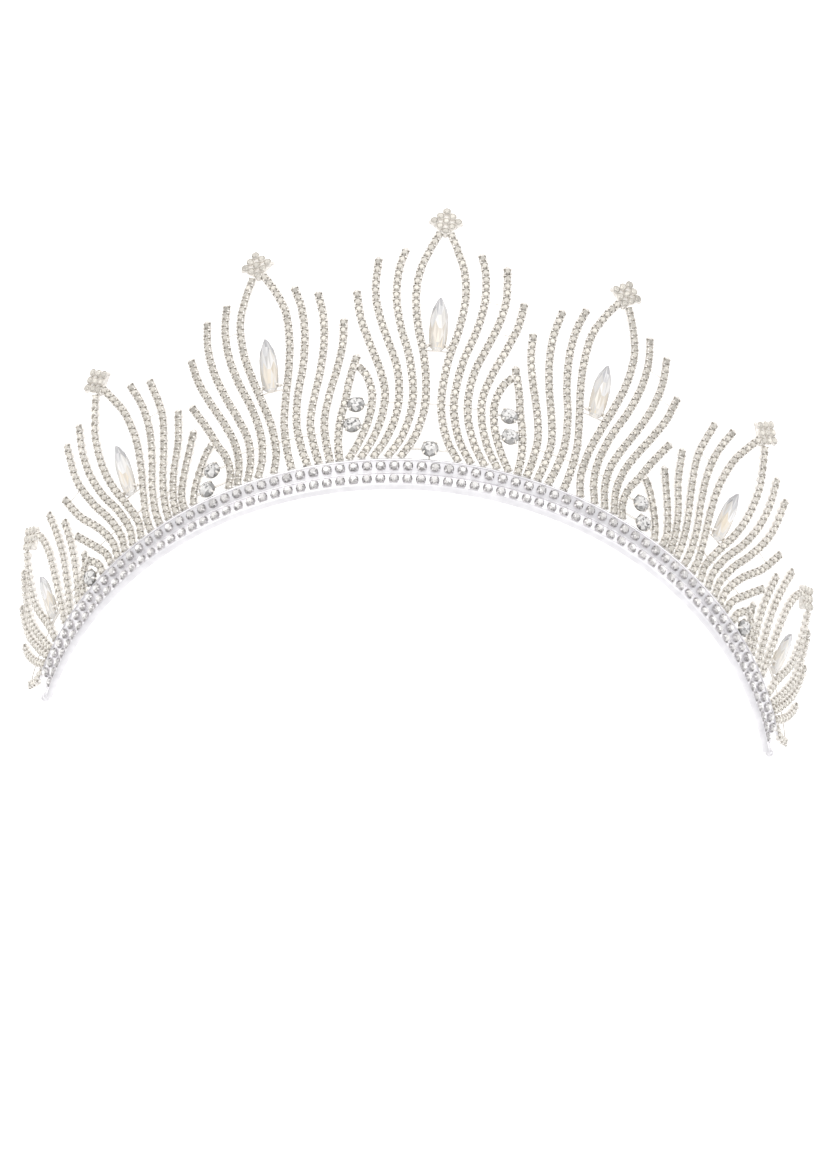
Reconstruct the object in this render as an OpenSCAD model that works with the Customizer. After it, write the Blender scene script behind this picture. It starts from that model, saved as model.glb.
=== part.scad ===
// Tiara headband: seven plumes of cup chain on a flared band, lying face up on
// the crests of its centre plume and its two end plumes.
// The tiara is laid out on a cone that opens upward from the band; the end plumes
// stand steeper than the cone. A place is [az, u, v, w]: the azimuth of a plume's
// own axis (0 at the front), the distance u across that axis, v up the slope from
// the band, and w outward.

/* [Band] */
// Radius of the cone where the band begins
band_r = 70; // [66:0.5:80]
// Half of the angle that the band goes round
band_half_sweep = 74.4; // [72:0.2:80]
// Slope of the plumes away from the upright
flare = 31.2; // [26:0.2:34]
// Slope of the two end plumes away from the upright
end_flare = 22.4; // [20:0.2:26]
// Height of the band along the slope
band_h = 5.7; // [5.5:0.1:5.8]
// Thickness of the band's metal
band_t = 0.9; // [0.7:0.1:1.2]
// Height and depth of the three thin rails along the band
rail = 0.4; // [0.3:0.05:0.5]

/* [Stones] */
// Width of the small round stones on the band
small_stone_d = 1.6; // [1.3:0.05:1.7]
// Height of the small round stones
small_stone_h = 0.7; // [0.5:0.05:0.9]
// Number of small stones in each row of the band
row_stones = 76; // [60:1:78]
// Width of the large round stones
round_stone_d = 3.15; // [2.8:0.05:3.2]
// Height of the large round stones
round_stone_h = 1.7; // [1.4:0.1:2]
// Length of the marquise stones
marquise_l = 11.6; // [10:0.1:12]
// Width of the marquise stones
marquise_w = 3.5; // [3:0.1:3.6]
// Height of the marquise stones
marquise_h = 2.2; // [1.6:0.1:2.6]

/* [Chain] */
// Width of the chain's cups
chain_d = 1.6; // [1.4:0.05:1.7]
// Thickness of the straight bridge wires
wire_t = 0.3; // [0.25:0.05:0.35]
// Side of the square of nine cups at the head of a plume
crest_side = 4.75; // [4.2:0.05:5]
// Thickness of that square
crest_t = 1.7; // [1.6:0.1:1.8]

/* [Hidden] */
gap = 0.12;
chain_sides = 8;
head_half = crest_side * sqrt(2) / 2;

// The strands stand on the band with a small gap under them
strand_gap = 0.15;
foot_v = band_h + strand_gap;

// Plumes: suffix of the nodes' names, azimuth, height of the crest's centre,
// foot of the marquise stone, side of the tiara that it stands on, slope
PLUMES = [
    ["center", 0, 57.7, 28.9, 1, flare],
    ["left_1", -21.2, 51.7, 23.2, -1, flare],
    ["right_1", 21.2, 51.7, 23.2, 1, flare],
    ["left_2", -44, 43.8, 15.9, -1, flare],
    ["right_2", 44, 43.8, 15.9, 1, flare],
    ["left_3", -66, 34.4, 11, -1, end_flare],
    ["right_3", 66, 34.4, 11, 1, end_flare]
];

// Strands of a plume of each size: which side of the plume's axis they are on
// (1 outer, -1 inner, 0 both), then their [u, v] points from the band to the tip,
// the two that go round the marquise stone first
STRANDS_0 = [
    [0, [[5.3, foot_v], [3, 10], [1.7, 15], [1.45, 20], [2.2, 27], [3.8, 34], [4.6, 41],
        [4.1, 46.5], [2.6, 51.2], [0.9, 55.3]]],
    [0, [[7.6, foot_v], [5.3, 10], [4, 15], [3.8, 20], [4.9, 27], [7, 34], [8.2, 40.5],
        [8.1, 46.5], [7.1, 51]]],
    [0, [[10.1, foot_v], [7.9, 10], [6.5, 15], [6.3, 20], [7.2, 25.5], [9.2, 31], [11.1, 36.5],
        [12.2, 42], [12.1, 49]]],
    [0, [[12.4, foot_v], [10.3, 10], [9, 15], [8.9, 20], [10.3, 25], [12.5, 30.5], [14.6, 36.3],
        [15.7, 42]]]
];
STRANDS_1 = [
    [0, [[1.7, foot_v], [0.95, 10], [1, 15.5], [1.9, 21], [3.3, 27], [4.4, 33], [4.5, 39.5],
        [3, 44.8], [0.9, 49.4]]],
    [0, [[4.7, foot_v], [3.6, 10], [3.3, 15], [4.2, 21], [6, 27], [7.4, 33.5], [7.6, 39.5],
        [6.7, 44.8]]],
    [0, [[6.8, foot_v], [5.9, 10], [5.8, 14.5], [7, 19.5], [8.9, 25], [10.6, 31], [11.4, 37],
        [11, 42.7]]],
    [0, [[8.8, foot_v], [8.2, 10], [8.4, 14.5], [9.8, 19.5], [12, 25], [14, 30.5], [15.1, 36]]]
];
STRANDS_2 = [
    [0, [[1.2, foot_v], [0.95, 9.5], [2.1, 14.5], [3.6, 20], [4.5, 26], [4, 32.5], [2.6, 37],
        [0.9, 41.4]]],
    [0, [[3.4, foot_v], [3.2, 9.5], [4.3, 14.5], [6.3, 20], [7.8, 26], [7.9, 32], [6.8, 38]]],
    [0, [[5.5, foot_v], [5.5, 9.5], [6.8, 14.5], [9.2, 20.5], [11.3, 28], [11, 36.4]]],
    [-1, [[7.8, foot_v], [8.2, 9.5], [9.8, 14.5], [12.6, 20.3], [14.6, 26.7]]],
    [1, [[7, foot_v], [7.1, 9.5], [9.15, 14.5], [12.8, 20.3], [15.4, 26.7]]],
    [-1, [[9.6, foot_v], [9.9, 9], [11.7, 13], [14, 17], [16.2, 20.8]]],
    [1, [[8.8, foot_v], [9.5, 9], [12, 13], [15.1, 17.6]]]
];
STRANDS_3 = [
    [-1, [[3, foot_v], [3.6, 11], [4.3, 19], [4.6, 25], [3.8, 30], [2.3, 33.1]]],
    [1, [[1.3, foot_v], [2.2, 11], [4.5, 19], [4.4, 25], [3.5, 30], [2.3, 33.1]]],
    [-1, [[5.3, foot_v], [6.8, 12], [8.2, 19.5], [8.4, 26], [7.9, 32.8]]],
    [-1, [[8.2, foot_v], [9.5, 9.6], [10.9, 16], [11.4, 21.5], [11.4, 26.7]]],
    [1, [[3.6, foot_v], [5.7, 11], [7.9, 18.5], [7.3, 25.5], [5.3, 30.7]]],
    [1, [[5.5, foot_v], [8, 11], [10.2, 17], [10.6, 21.5], [9.8, 25.3]]],
    [1, [[7.5, foot_v], [10.6, 10.2], [12.8, 14.7], [13.4, 17.9]]],
    [1, [[9.3, foot_v], [13, 7.2], [16, 9.7]]]
];

// How far the feet of the strands on both sides sway toward the front, at heights
// up the slope: the inner strands and the outer strands of a plume of each size
SWAYS = [
    [[[0, 0]], [[0, 0]]],
    [[[foot_v, 0.45], [10, 0.8], [16, 0.75], [21, 0.7], [27, 0.5], [33, 0.15], [38, 0]],
        [[foot_v, 0.45], [10, 0.6], [15, 0.4], [20, 0.15], [27, 0]]],
    [[[foot_v, 0.5], [10, 0.75], [14, 0.55], [20, 0.2], [26, 0]],
        [[foot_v, 0.5], [10, 0.7], [14, 0.6], [20, 0.25], [26, 0.2], [34, 0]]],
    [[[0, 0]], [[0, 0]]]
];

// Height up the slope of the wire across the neck of a plume of each size
NECK_0 = 17.5;
NECK_1 = 12.2;
NECK_2 = 11.4;
NECK_3 = 9.8;

// Loops between the plumes: suffix, azimuth, side, the two strands' [u, v] points,
// the [u, v] places of the round stones, the heights of the cross wires
LOOP_1 = [
    [[0.5, foot_v], [-1.6, 9.5], [-3.4, 14], [-4.2, 19], [-3.2, 23.5], [-1.2, 26.2]],
    [[2, foot_v], [2.2, 10], [1.7, 14.5], [0.7, 18.5], [-0.1, 22.5], [-1.6, 27.8]],
    [[-1.25, 17.3], [-0.45, 13.1]],
    []
];
LOOP_2 = [
    [[-2.7, foot_v], [-3.7, 9], [-3.5, 12.5], [-2.3, 15.8], [-1.05, 20], [1.2, 26]],
    [[4.7, foot_v], [3.8, 8.8], [2.1, 12], [0.3, 14.7], [-1.4, 16.6]],
    [[-0.4, 11], [1.3, 7.6]],
    []
];
LOOP_3 = [
    [[-3.4, foot_v], [-3.2, 8], [-2, 10], [-0.7, 11.4]],
    [[2.9, foot_v], [2, 8.2], [-0.3, 11], [-1.1, 13.1]],
    [[-0.3, 7.3]],
    [10.2]
];
LOOPS = [
    ["left_1", -11, -1, LOOP_1],
    ["right_1", 11, 1, LOOP_1],
    ["left_2", -31.3, -1, LOOP_2],
    ["right_2", 31.3, 1, LOOP_2],
    ["left_3", -55.6, -1, LOOP_3],
    ["right_3", 55.6, 1, LOOP_3]
];
FOOT_STONE = [0, 8];

// Places on the cone, and on an end plume's own slope, which begins at its foot

function radius_at(v, w = 0, slope = flare) =
    band_r + foot_v * sin(flare) + (v - foot_v) * sin(slope) + w * cos(slope);
function height_at(v, w = 0, slope = flare) =
    foot_v * cos(flare) + (v - foot_v) * cos(slope) - w * sin(slope);
function turn_at(az, u, v, slope = flare) = az + u / radius_at(v, 0, slope) * 180 / PI;
function place(az, u, v, w = 0, slope = flare) =
    let (a = turn_at(az, u, v, slope), r = radius_at(v, w, slope))
    [r * sin(a), -r * cos(a), height_at(v, w, slope)];
function outward(az, u, v, slope = flare) =
    let (a = turn_at(az, u, v, slope))
    [cos(slope) * sin(a), -cos(slope) * cos(a), -sin(slope)];

// The band's profile as [distance from the axis, height]: the lower half stands
// steeper than the upper one
low_reach = 0.6;
low_drop = 0.5;
lip_drop = 0.1;
low_edge = [band_r + low_reach, -low_drop];
middle = [radius_at(band_h / 2), height_at(band_h / 2)];
top_edge = [radius_at(band_h), height_at(band_h)];
lower_flare = atan((middle[0] - low_edge[0]) / (middle[1] - low_edge[1]));
bottom = low_edge[1] - lip_drop;

function out_of(flare_angle, d) = [d * cos(flare_angle), -d * sin(flare_angle)];
function up_along(flare_angle, d) = [d * sin(flare_angle), d * cos(flare_angle)];

// The two ends of the band: a narrow tip with a bead on it
bead_d = 1.9;
bead_reach = 1.3;
tip_l = 3.2;
tip_h = 2.2;
tip_t = 0.8 * band_t;
tip_turn = band_half_sweep + 0.8;
tip_r = middle[0] - band_t / 2;

// How the tiara lies: the inner corners of the centre crest and of the end crests
// touch the ground, which sets the tilt, and the rest follows
inner_w = -crest_t / 2;
CORNER_0 = place(0, 0, PLUMES[0][2] + head_half, inner_w);
CORNER_3 = place(PLUMES[6][1], 0, PLUMES[6][2] + head_half, inner_w, PLUMES[6][5]);
rest_tilt = atan((CORNER_0[2] - CORNER_3[2]) / (CORNER_3[1] - CORNER_0[1]));
rest_z = CORNER_3[1] * sin(rest_tilt) + CORNER_3[2] * cos(rest_tilt);
FRONT = place(0, 0, PLUMES[0][2] + head_half, crest_t / 2);
bead_y = bead_reach * sin(tip_turn) - tip_r * cos(tip_turn);
rest_front = -FRONT[1] * cos(rest_tilt) + FRONT[2] * sin(rest_tilt);
rest_back = -bead_y * cos(rest_tilt) + middle[1] * sin(rest_tilt) - bead_d / 2;
rest_y = -(rest_front + rest_back) / 2;

module resting() {
    translate([0, rest_y, rest_z]) rotate([180 + rest_tilt, 0, 0]) children();
}

// Puts children at a place, with x across, y up the slope and z outward
module at_place(az, u, v, w = 0, slope = flare) {
    rotate([0, 0, turn_at(az, u, v, slope)])
        translate([0, -radius_at(v, w, slope), height_at(v, w, slope)])
            rotate([90 + slope, 0, 0]) children();
}

// Chain and wires

// One strand of chain as a tube: a ring of points round each point of its route,
// the first one level with the band
module strand(az, side, points, slope = flare) {
    route = [for (p = points) place(az, side * p[0], p[1], 0, slope)];
    upward = place(az, side * points[0][0], foot_v + 1) - route[0];
    last = len(route) - 1;
    rings = [for (i = [0:last])
        let (ahead = i == 0 ? upward : route[min(i + 1, last)] - route[i - 1],
            t = ahead / norm(ahead),
            b = cross(t, outward(az, side * points[i][0], points[i][1], slope)),
            across = b / norm(b),
            out = cross(across, t))
        [for (k = [0:chain_sides - 1])
            let (turn = (k + 0.5) * 360 / chain_sides)
            route[i] + chain_d / 2 * (across * cos(turn) + out * sin(turn))]];
    sides = [for (i = [0:last - 1]) for (k = [0:chain_sides - 1])
        let (next = (k + 1) % chain_sides, low = i * chain_sides, high = low + chain_sides)
        [low + k, low + next, high + next, high + k]];
    ends = [
        [for (k = [chain_sides - 1:-1:0]) k],
        [for (k = [0:chain_sides - 1]) last * chain_sides + k]
    ];
    polyhedron(points = [for (r = rings) each r], faces = concat(sides, ends));
}

function across_at(points, v, i = 0) =
    v <= points[0][1] ? points[0][0]
    : i >= len(points) - 1 ? points[len(points) - 1][0]
    : v <= points[i + 1][1]
    ? points[i][0] + (points[i + 1][0] - points[i][0]) * (v - points[i][1])
        / (points[i + 1][1] - points[i][1])
    : across_at(points, v, i + 1);

// A straight wire across the slope, from one distance to another
module wire(az, from, to, v, w = 0, slope = flare) {
    at_place(az, (from + to) / 2, v, w, slope) hull()
        for (end = [-1, 1]) translate([end * (to - from) / 2, 0, 0]) cube(wire_t, center = true);
}

// Settings and stones

pavilion_h = 0.6 * round_stone_h;
girdle_w = 0.45;

// The cup of a round stone, and the wires that hold it
cup_sides = 8;
cup_wall = 0.25;
cup_foot = 0.3;
cup_rim = 0.75 * round_stone_d / 2;
cup_hold = 0.36 * round_stone_d;
cup_wire_w = -0.1;
skin = 0.01;

// The wire behind the foot of a marquise stone
seat_w = -0.45;
seat_rise = 0.2;

// A cup that follows a round stone's pavilion, a small gap round it
module round_cup() {
    slant = round_stone_d / 2 / pavilion_h;
    low = -pavilion_h - gap;
    high = low + (cup_rim - cup_foot) / slant;
    difference() {
        hull() {
            translate([0, 0, low - cup_wall])
                cylinder(r = cup_foot + cup_wall, h = skin, $fn = cup_sides);
            translate([0, 0, high - skin])
                cylinder(r = cup_rim + cup_wall, h = skin, $fn = cup_sides);
        }
        hull() {
            translate([0, 0, low]) cylinder(r = cup_foot, h = skin, $fn = cup_sides);
            translate([0, 0, high]) cylinder(r = cup_rim, h = skin, $fn = cup_sides);
        }
    }
}

// A round stone's cup and the wires that hold it to the strands on its two sides
module held_cup(az, side, p, lefts, rights) {
    at_place(az, side * p[0], p[1], girdle_w) round_cup();
    for (strand_points = [lefts, rights]) {
        reach = across_at(strand_points, p[1]);
        cup_edge = p[0] + sign(reach - p[0]) * cup_hold;
        wire(az, side * cup_edge, side * reach, p[1], cup_wire_w);
    }
}

// A round cut stone with its girdle at z 0: a table, crown facets and a pavilion
module round_stone() {
    sides = 8;
    table = 0.55;
    crown = round_stone_h - pavilion_h;
    r = round_stone_d / 2;
    ring = [for (k = [0:sides - 1]) 360 * k / sides];
    points = concat(
        [for (a = ring) [table * r * cos(a), table * r * sin(a), crown]],
        [for (a = ring) [r * cos(a), r * sin(a), 0]],
        [[0, 0, -pavilion_h]]
    );
    faces = concat(
        [[for (k = [sides - 1:-1:0]) k]],
        [for (k = [0:sides - 1]) let (n = (k + 1) % sides) [k, n, sides + n, sides + k]],
        [for (k = [0:sides - 1]) let (n = (k + 1) % sides) [sides + k, sides + n, 2 * sides]]
    );
    polyhedron(points = points, faces = faces);
}

// A flat-backed round stone that sits on the band, with a table and crown facets
module small_stone() {
    sides = 8;
    table = 0.6;
    ring = [for (k = [0:sides - 1]) 360 * (k + 0.5) / sides];
    r = small_stone_d / 2;
    points = concat(
        [for (a = ring) [table * r * cos(a), table * r * sin(a), small_stone_h]],
        [for (a = ring) [r * cos(a), r * sin(a), 0]]
    );
    faces = concat(
        [[for (k = [sides - 1:-1:0]) k]],
        [for (k = [0:sides - 1]) let (n = (k + 1) % sides) [k, n, sides + n, sides + k]],
        [[for (k = [0:sides - 1]) sides + k]]
    );
    polyhedron(points = points, faces = faces);
}

// Half the width of a marquise outline at a share t of its length, from -1 at its
// blunt foot to 1 at its narrow upper point
marquise_fullness = 0.65;
marquise_foot = 0.6;
marquise_point = 0.2;
function marquise_half(t) = marquise_w / 2 * (t < 0
    ? 1 - (1 - marquise_foot) * t * t
    : marquise_point + (1 - marquise_point) * pow(cos(90 * t), marquise_fullness));

// A marquise stone along y, with its girdle at z 0
module marquise_stone() {
    shares = [-1, -0.45, 0.35, 1];
    right = [for (t = shares) [marquise_half(t), t * marquise_l / 2]];
    ring = concat(right, [for (k = [len(right) - 1:-1:0]) [-right[k][0], right[k][1]]]);
    n = len(ring);
    table = 0.55;
    crown = 0.4 * marquise_h;
    keel = 0.5;
    points = concat(
        [for (p = ring) [table * p[0], table * p[1], crown]],
        [for (p = ring) [p[0], p[1], 0]],
        [[0, -keel * marquise_l / 2, crown - marquise_h], [0, keel * marquise_l / 2, crown - marquise_h]]
    );
    low_keel = 2 * n;
    high_keel = 2 * n + 1;
    faces = concat(
        [[for (k = [n - 1:-1:0]) k]],
        [for (k = [0:n - 1]) let (m = (k + 1) % n) [k, m, n + m, n + k]],
        [for (k = [0:n - 1]) let (m = (k + 1) % n)
            [n + k, n + m, ring[k][1] + ring[m][1] < 0 ? low_keel : high_keel]],
        [[n + 2, high_keel, low_keel], [n + 5, low_keel, high_keel]]
    );
    polyhedron(points = points, faces = faces);
}

// The pieces

band_back_rise = 0.15 * band_t;
band_sides = 180;
bead_sides = 24;

module band() {
    low_out = out_of(lower_flare, rail);
    top_out = out_of(flare, rail);
    low_up = up_along(lower_flare, rail);
    top_up = up_along(flare, rail);
    back = [-band_t, band_back_rise];
    profile = [
        [low_edge[0] + rail, bottom], low_edge + low_out + low_up, low_edge + low_up,
        middle - low_up / 2, middle - low_up / 2 + low_out / 2,
        middle + top_up / 2 + top_out / 2, middle + top_up / 2,
        top_edge - top_up, top_edge - top_up + top_out, top_edge + top_out,
        top_edge + back, middle + back, [low_edge[0] - band_t, bottom]
    ];
    color("Gainsboro") resting() {
        rotate([0, 0, -90 - band_half_sweep])
            rotate_extrude(angle = 2 * band_half_sweep, $fn = band_sides) polygon(profile);
        for (side = [-1, 1]) rotate([0, 0, side * tip_turn])
            translate([0, -tip_r, middle[1]]) {
                cube([tip_l, tip_t, tip_h], center = true);
                translate([side * bead_reach, 0, 0]) sphere(d = bead_d, $fn = bead_sides);
            }
    }
}

// One row of small stones along the band, standing on the band's face
row_half_sweep = band_half_sweep - 1;
module band_row(point, slope) {
    pitch = 2 * row_half_sweep / row_stones;
    color("White") resting()
        for (k = [0:row_stones - 1]) rotate([0, 0, pitch * (k + 0.5) - row_half_sweep])
            translate([0, -point[0], point[1]]) rotate([90 + slope, 0, 0])
                translate([0, 0, gap]) small_stone();
}

module band_stones_upper() {
    band_row((middle + top_edge) / 2, flare);
}

module band_stones_lower() {
    band_row((low_edge + middle) / 2, lower_flare);
}

function size_of(i) = floor((i + 1) / 2);
function strands_of(size) = [STRANDS_0, STRANDS_1, STRANDS_2, STRANDS_3][size];
function neck_of(size) = [NECK_0, NECK_1, NECK_2, NECK_3][size];
function mirrored(points) = [for (p = points) [-p[0], p[1]]];

// The strands on one side of a plume's axis, with their sway
function swayed(points, half, sways) =
    [for (p = points) [p[0] - half * lookup(p[1], sways), p[1]]];
function strands_on(size, half) =
    let (sways = SWAYS[size][half < 0 ? 0 : 1])
    [for (s = strands_of(size)) if (s[0] == 0 || s[0] == half)
        s[0] == 0 ? swayed(s[1], half, sways) : s[1]];

module plume(i) {
    az = PLUMES[i][1];
    side = PLUMES[i][4];
    slope = PLUMES[i][5];
    neck = neck_of(size_of(i));
    inner = strands_on(size_of(i), -1);
    outer = strands_on(size_of(i), 1);
    seat_v = PLUMES[i][3] + seat_rise;
    color("Silver") resting() {
        for (half = [-1, 1]) {
            kept = half < 0 ? inner : outer;
            for (points = kept) strand(az, side * half, points, slope);
            for (k = [0:len(kept) - 2])
                wire(az, side * half * across_at(kept[k], neck),
                    side * half * across_at(kept[k + 1], neck), neck, 0, slope);
        }
        at_place(az, 0, PLUMES[i][2], 0, slope) rotate([0, 0, 45])
            cube([crest_side, crest_side, crest_t], center = true);
        wire(az, -side * across_at(inner[0], neck), side * across_at(outer[0], neck),
            neck, 0, slope);
        wire(az, -side * across_at(inner[0], seat_v), side * across_at(outer[0], seat_v),
            seat_v, seat_w, slope);
        if (i == 0) held_cup(az, 1, FOOT_STONE, mirrored(inner[0]), outer[0]);
    }
}

module loop_piece(i) {
    az = LOOPS[i][1];
    side = LOOPS[i][2];
    kind = LOOPS[i][3];
    color("Silver") resting() {
        for (k = [0, 1]) strand(az, side, kind[k]);
        for (p = kind[2]) held_cup(az, side, p, kind[0], kind[1]);
        for (v = kind[3])
            wire(az, side * across_at(kind[0], v), side * across_at(kind[1], v), v);
    }
}

module marquise(i) {
    color("Ivory") resting()
        at_place(PLUMES[i][1], 0, PLUMES[i][3] + marquise_l / 2, 0, PLUMES[i][5]) marquise_stone();
}

module loop_stone(i, k) {
    p = LOOPS[i][3][2][k];
    color("White") resting()
        at_place(LOOPS[i][1], LOOPS[i][2] * p[0], p[1], girdle_w) round_stone();
}

module round_center() {
    color("White") resting()
        at_place(0, FOOT_STONE[0], FOOT_STONE[1], girdle_w) round_stone();
}

band();
band_stones_upper();
band_stones_lower();
for (i = [0:len(PLUMES) - 1]) {
    plume(i);
    marquise(i);
}
for (i = [0:len(LOOPS) - 1]) {
    loop_piece(i);
    if (len(LOOPS[i][3][2]) == 1) {
        loop_stone(i, 0);
    } else {
        loop_stone(i, 0);
        loop_stone(i, 1);
    }
}
round_center();
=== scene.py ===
"""Looks of the tiara headband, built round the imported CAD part.

Lengths are millimetres on the tiara, until to_row turns them into the frame's metres. A place on the tiara
is (az, u, v, w): the azimuth of a plume's or loop's own axis, the distance u across it, v up the slope from
the band, and w outward from the slope. Axes are three rows: across, up the slope and outward.
"""

import math
import random

import bpy
import numpy as np
from mathutils import Matrix, Vector


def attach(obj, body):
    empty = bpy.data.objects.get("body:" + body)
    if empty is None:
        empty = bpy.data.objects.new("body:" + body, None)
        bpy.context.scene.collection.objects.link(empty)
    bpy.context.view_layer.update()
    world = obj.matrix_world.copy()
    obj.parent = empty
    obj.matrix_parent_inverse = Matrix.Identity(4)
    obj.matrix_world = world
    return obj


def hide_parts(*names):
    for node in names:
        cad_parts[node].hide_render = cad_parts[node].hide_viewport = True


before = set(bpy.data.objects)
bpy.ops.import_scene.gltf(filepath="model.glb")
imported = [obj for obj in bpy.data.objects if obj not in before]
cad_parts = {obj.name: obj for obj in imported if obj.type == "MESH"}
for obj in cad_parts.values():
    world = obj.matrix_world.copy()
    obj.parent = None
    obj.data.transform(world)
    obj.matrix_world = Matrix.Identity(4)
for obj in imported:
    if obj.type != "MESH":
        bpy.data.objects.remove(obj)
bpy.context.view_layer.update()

# Sizes, as in the CAD source

BAND_R = 70.0
HALF_SWEEP = 74.4
FLARE = math.radians(31.2)
END_FLARE = math.radians(22.4)
BAND_H = 5.7
FOOT_V = 5.85
BAND_T = 0.9
RAIL = 0.4
SMALL_STONE_D = 1.6
SMALL_STONE_H = 0.7
ROW_STONES = 76
ROUND_STONE_D = 3.15
ROUND_STONE_H = 1.7
MARQUISE_L = 11.6
MARQUISE_W = 3.5
MARQUISE_H = 2.2
CHAIN_D = 1.6
CREST_SIDE = 4.75
CREST_T = 1.7
GAP = 0.12
GIRDLE_W = 0.45
SEAT_W = -0.45
SEAT_RISE = 0.2
TIP_L = 3.2
BEAD_D = 1.9
BEAD_REACH = 1.3
HEAD_HALF = CREST_SIDE * math.sqrt(2) / 2

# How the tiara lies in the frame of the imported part
REST_TURN = math.radians(180 + 15.0006)
REST_SHIFT = (0.0, -64.1326, 24.7564)
REST_AXES = np.array([
    [1, 0, 0],
    [0, math.cos(REST_TURN), math.sin(REST_TURN)],
    [0, -math.sin(REST_TURN), math.cos(REST_TURN)],
])

# Plumes: suffix, azimuth, height of the crest's centre, foot of the marquise, side, size, slope
PLUMES = [
    ("center", 0, 57.7, 28.9, 1, 0, FLARE),
    ("left_1", -21.2, 51.7, 23.2, -1, 1, FLARE),
    ("right_1", 21.2, 51.7, 23.2, 1, 1, FLARE),
    ("left_2", -44, 43.8, 15.9, -1, 2, FLARE),
    ("right_2", 44, 43.8, 15.9, 1, 2, FLARE),
    ("left_3", -66, 34.4, 11, -1, 3, END_FLARE),
    ("right_3", 66, 34.4, 11, 1, 3, END_FLARE),
]

# Strands of a plume of each size: half (0 both, 1 outer, -1 inner) and (u, v) points
STRANDS = [
    [
        (0, [(5.3, FOOT_V), (3, 10), (1.7, 15), (1.45, 20), (2.2, 27), (3.8, 34), (4.6, 41),
             (4.1, 46.5), (2.6, 51.2), (0.9, 55.3)]),
        (0, [(7.6, FOOT_V), (5.3, 10), (4, 15), (3.8, 20), (4.9, 27), (7, 34), (8.2, 40.5),
             (8.1, 46.5), (7.1, 51)]),
        (0, [(10.1, FOOT_V), (7.9, 10), (6.5, 15), (6.3, 20), (7.2, 25.5), (9.2, 31), (11.1, 36.5),
             (12.2, 42), (12.1, 49)]),
        (0, [(12.4, FOOT_V), (10.3, 10), (9, 15), (8.9, 20), (10.3, 25), (12.5, 30.5), (14.6, 36.3),
             (15.7, 42)]),
    ],
    [
        (0, [(1.7, FOOT_V), (0.95, 10), (1, 15.5), (1.9, 21), (3.3, 27), (4.4, 33), (4.5, 39.5),
             (3, 44.8), (0.9, 49.4)]),
        (0, [(4.7, FOOT_V), (3.6, 10), (3.3, 15), (4.2, 21), (6, 27), (7.4, 33.5), (7.6, 39.5),
             (6.7, 44.8)]),
        (0, [(6.8, FOOT_V), (5.9, 10), (5.8, 14.5), (7, 19.5), (8.9, 25), (10.6, 31), (11.4, 37),
             (11, 42.7)]),
        (0, [(8.8, FOOT_V), (8.2, 10), (8.4, 14.5), (9.8, 19.5), (12, 25), (14, 30.5), (15.1, 36)]),
    ],
    [
        (0, [(1.2, FOOT_V), (0.95, 9.5), (2.1, 14.5), (3.6, 20), (4.5, 26), (4, 32.5), (2.6, 37),
             (0.9, 41.4)]),
        (0, [(3.4, FOOT_V), (3.2, 9.5), (4.3, 14.5), (6.3, 20), (7.8, 26), (7.9, 32), (6.8, 38)]),
        (0, [(5.5, FOOT_V), (5.5, 9.5), (6.8, 14.5), (9.2, 20.5), (11.3, 28), (11, 36.4)]),
        (-1, [(7.8, FOOT_V), (8.2, 9.5), (9.8, 14.5), (12.6, 20.3), (14.6, 26.7)]),
        (1, [(7, FOOT_V), (7.1, 9.5), (9.15, 14.5), (12.8, 20.3), (15.4, 26.7)]),
        (-1, [(9.6, FOOT_V), (9.9, 9), (11.7, 13), (14, 17), (16.2, 20.8)]),
        (1, [(8.8, FOOT_V), (9.5, 9), (12, 13), (15.1, 17.6)]),
    ],
    [
        (-1, [(3, FOOT_V), (3.6, 11), (4.3, 19), (4.6, 25), (3.8, 30), (2.3, 33.1)]),
        (1, [(1.3, FOOT_V), (2.2, 11), (4.5, 19), (4.4, 25), (3.5, 30), (2.3, 33.1)]),
        (-1, [(5.3, FOOT_V), (6.8, 12), (8.2, 19.5), (8.4, 26), (7.9, 32.8)]),
        (-1, [(8.2, FOOT_V), (9.5, 9.6), (10.9, 16), (11.4, 21.5), (11.4, 26.7)]),
        (1, [(3.6, FOOT_V), (5.7, 11), (7.9, 18.5), (7.3, 25.5), (5.3, 30.7)]),
        (1, [(5.5, FOOT_V), (8, 11), (10.2, 17), (10.6, 21.5), (9.8, 25.3)]),
        (1, [(7.5, FOOT_V), (10.6, 10.2), (12.8, 14.7), (13.4, 17.9)]),
        (1, [(9.3, FOOT_V), (13, 7.2), (16, 9.7)]),
    ],
]

# How far the feet of the strands on both sides sway toward the front, at heights up the slope:
# for each size of plume the inner strands (-1) and the outer strands (1)
SWAYS = [
    {-1: [(0, 0)], 1: [(0, 0)]},
    {-1: [(FOOT_V, 0.45), (10, 0.8), (16, 0.75), (21, 0.7), (27, 0.5), (33, 0.15), (38, 0)],
     1: [(FOOT_V, 0.45), (10, 0.6), (15, 0.4), (20, 0.15), (27, 0)]},
    {-1: [(FOOT_V, 0.5), (10, 0.75), (14, 0.55), (20, 0.2), (26, 0)],
     1: [(FOOT_V, 0.5), (10, 0.7), (14, 0.6), (20, 0.25), (26, 0.2), (34, 0)]},
    {-1: [(0, 0)], 1: [(0, 0)]},
]
# Heights of the wires across the neck, for each size of plume
NECKS = [17.5, 12.2, 11.4, 9.8]

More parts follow.
